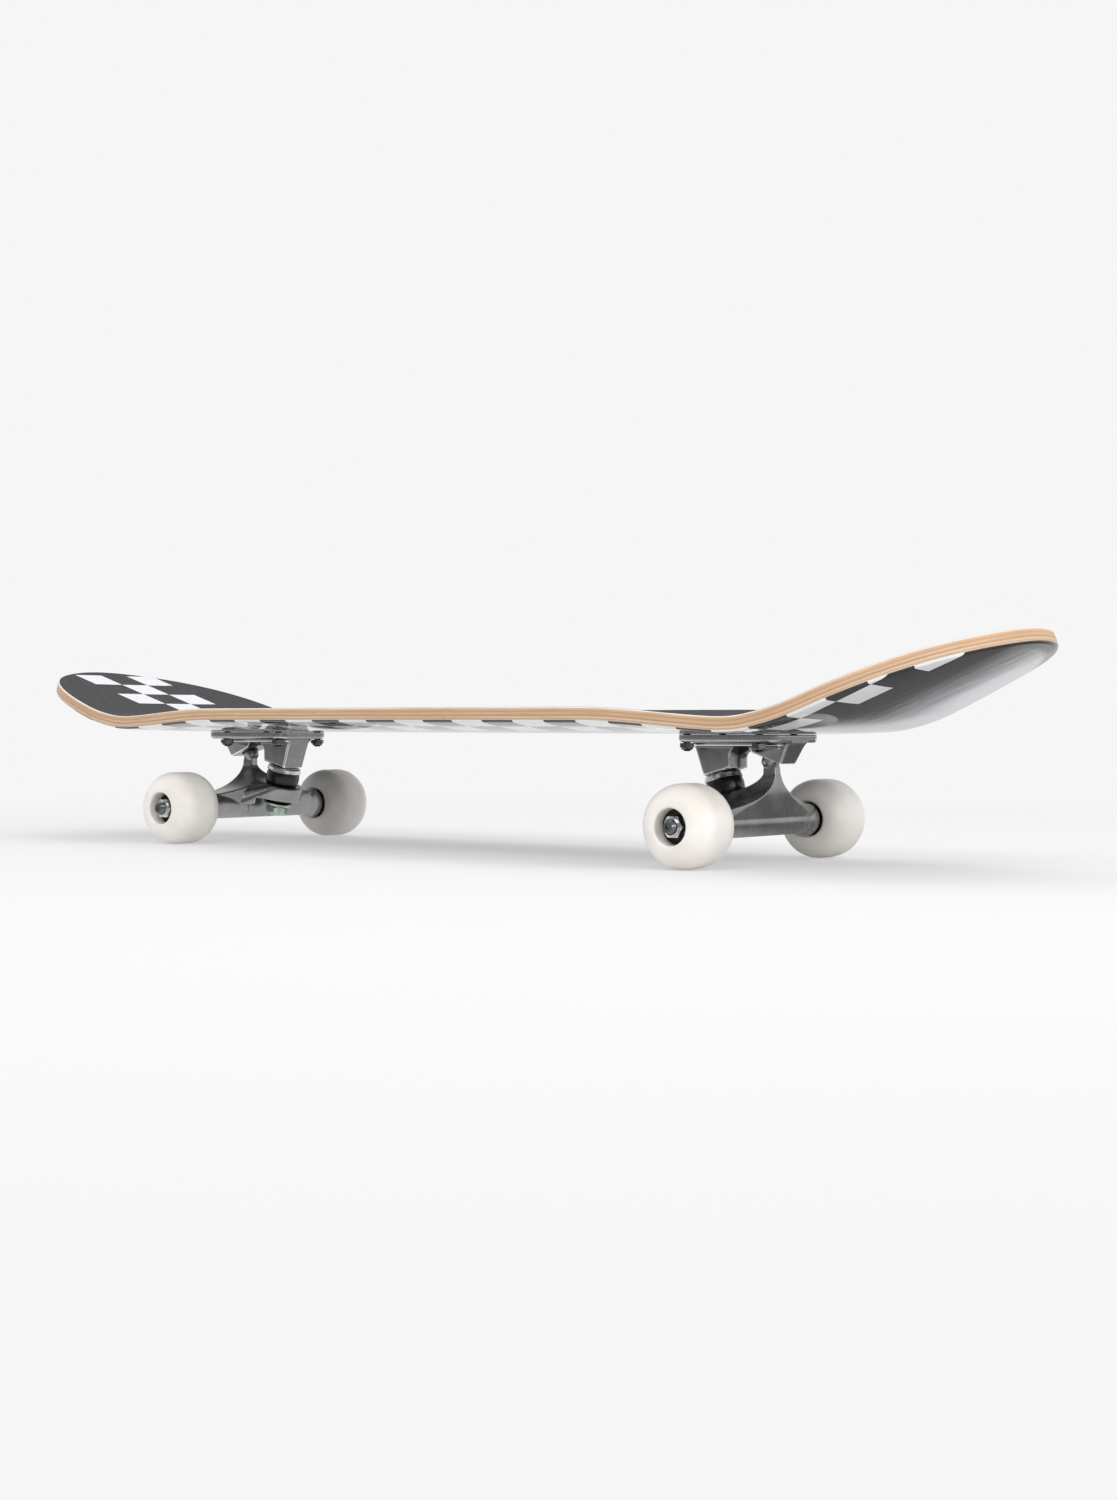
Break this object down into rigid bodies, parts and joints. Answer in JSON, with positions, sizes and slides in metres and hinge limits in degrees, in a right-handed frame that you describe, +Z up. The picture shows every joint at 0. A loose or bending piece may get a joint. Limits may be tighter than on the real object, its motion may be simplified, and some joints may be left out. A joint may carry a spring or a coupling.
{
  "type": "skateboard",
  "caption": "Street skateboard: curved maple deck with kicked-up nose and tail, grip tape on top, two steering trucks and four white wheels.",
  "frame": {"origin": "on the floor under the middle of the board's length and width", "axes": "+X along the board toward the tail, +Z up, and -Y to the right of a rider who looks toward the tail"},
  "size_m": [0.8276, 0.2038, 0.1446],
  "materials": {
    "maple": "satin sealed maple plies",
    "grip": "black abrasive grit sheet",
    "cast_metal": "satin gunmetal cast aluminium",
    "steel": "bright plated steel",
    "zinc": "zinc plated steel",
    "black_steel": "black oxide steel",
    "bearing": "black bearing race and shield",
    "urethane": "cast white urethane",
    "black_rubber": "glossy black urethane"
  },
  "bodies": {
    "board": {"deck": "maple", "grip_tape": "grip", "nose_baseplate": "cast_metal", "nose_pivot_cup": "black_rubber", "nose_kingpin": "steel", "nose_board_washer": "steel", "nose_board_bushing": "black_rubber", "nose_road_bushing": "black_rubber", "nose_road_washer": "zinc", "nose_kingpin_nut": "zinc", "nose_bolt_1": "black_steel", "nose_bolt_nut_1": "black_steel", "nose_bolt_2": "black_steel", "nose_bolt_nut_2": "black_steel", "nose_bolt_3": "black_steel", "nose_bolt_nut_3": "black_steel", "nose_bolt_4": "black_steel", "nose_bolt_nut_4": "black_steel", "tail_baseplate": "cast_metal", "tail_pivot_cup": "black_rubber", "tail_kingpin": "steel", "tail_board_washer": "steel", "tail_board_bushing": "black_rubber", "tail_road_bushing": "black_rubber", "tail_road_washer": "zinc", "tail_kingpin_nut": "zinc", "tail_bolt_1": "black_steel", "tail_bolt_nut_1": "black_steel", "tail_bolt_2": "black_steel", "tail_bolt_nut_2": "black_steel", "tail_bolt_3": "black_steel", "tail_bolt_nut_3": "black_steel", "tail_bolt_4": "black_steel", "tail_bolt_nut_4": "black_steel"},
    "nose_truck": {"nose_hanger": "cast_metal", "nose_axle": "steel", "nose_right_race_stack": "steel", "nose_right_axle_nut": "steel", "nose_left_race_stack": "steel", "nose_left_axle_nut": "steel"},
    "nose_right_wheel_set": {"nose_right_wheel": "urethane", "nose_right_outer_bearing": "bearing", "nose_right_inner_bearing": "bearing"},
    "nose_left_wheel_set": {"nose_left_wheel": "urethane", "nose_left_outer_bearing": "bearing", "nose_left_inner_bearing": "bearing"},
    "tail_truck": {"tail_hanger": "cast_metal", "tail_axle": "steel", "tail_right_race_stack": "steel", "tail_right_axle_nut": "steel", "tail_left_race_stack": "steel", "tail_left_axle_nut": "steel"},
    "tail_right_wheel_set": {"tail_right_wheel": "urethane", "tail_right_outer_bearing": "bearing", "tail_right_inner_bearing": "bearing"},
    "tail_left_wheel_set": {"tail_left_wheel": "urethane", "tail_left_outer_bearing": "bearing", "tail_left_inner_bearing": "bearing"}
  },
  "joints": [
    {"name": "nose_steer", "type": "hinge", "parent": "board", "child": "nose_truck", "pos_m": [-0.20552, 0, 0.03742], "axis": [-0.7405, 0, 0.672], "range_deg": [-12, 12], "stiffness_Nm_per_rad": 25, "deforming": ["nose_board_bushing", "nose_road_bushing"]},
    {"name": "nose_right_spin", "type": "hinge", "parent": "nose_truck", "child": "nose_right_wheel_set", "pos_m": [-0.22771, -0.0797, 0.026], "axis": [0, 1, 0], "continuous": true},
    {"name": "nose_left_spin", "type": "hinge", "parent": "nose_truck", "child": "nose_left_wheel_set", "pos_m": [-0.22771, 0.0797, 0.026], "axis": [0, 1, 0], "continuous": true},
    {"name": "tail_steer", "type": "hinge", "parent": "board", "child": "tail_truck", "pos_m": [0.1967, 0, 0.03742], "axis": [0.7405, 0, 0.672], "range_deg": [-12, 12], "stiffness_Nm_per_rad": 25, "deforming": ["tail_board_bushing", "tail_road_bushing"]},
    {"name": "tail_right_spin", "type": "hinge", "parent": "tail_truck", "child": "tail_right_wheel_set", "pos_m": [0.21889, -0.0797, 0.026], "axis": [0, 1, 0], "continuous": true},
    {"name": "tail_left_spin", "type": "hinge", "parent": "tail_truck", "child": "tail_left_wheel_set", "pos_m": [0.21889, 0.0797, 0.026], "axis": [0, 1, 0], "continuous": true}
  ]
}
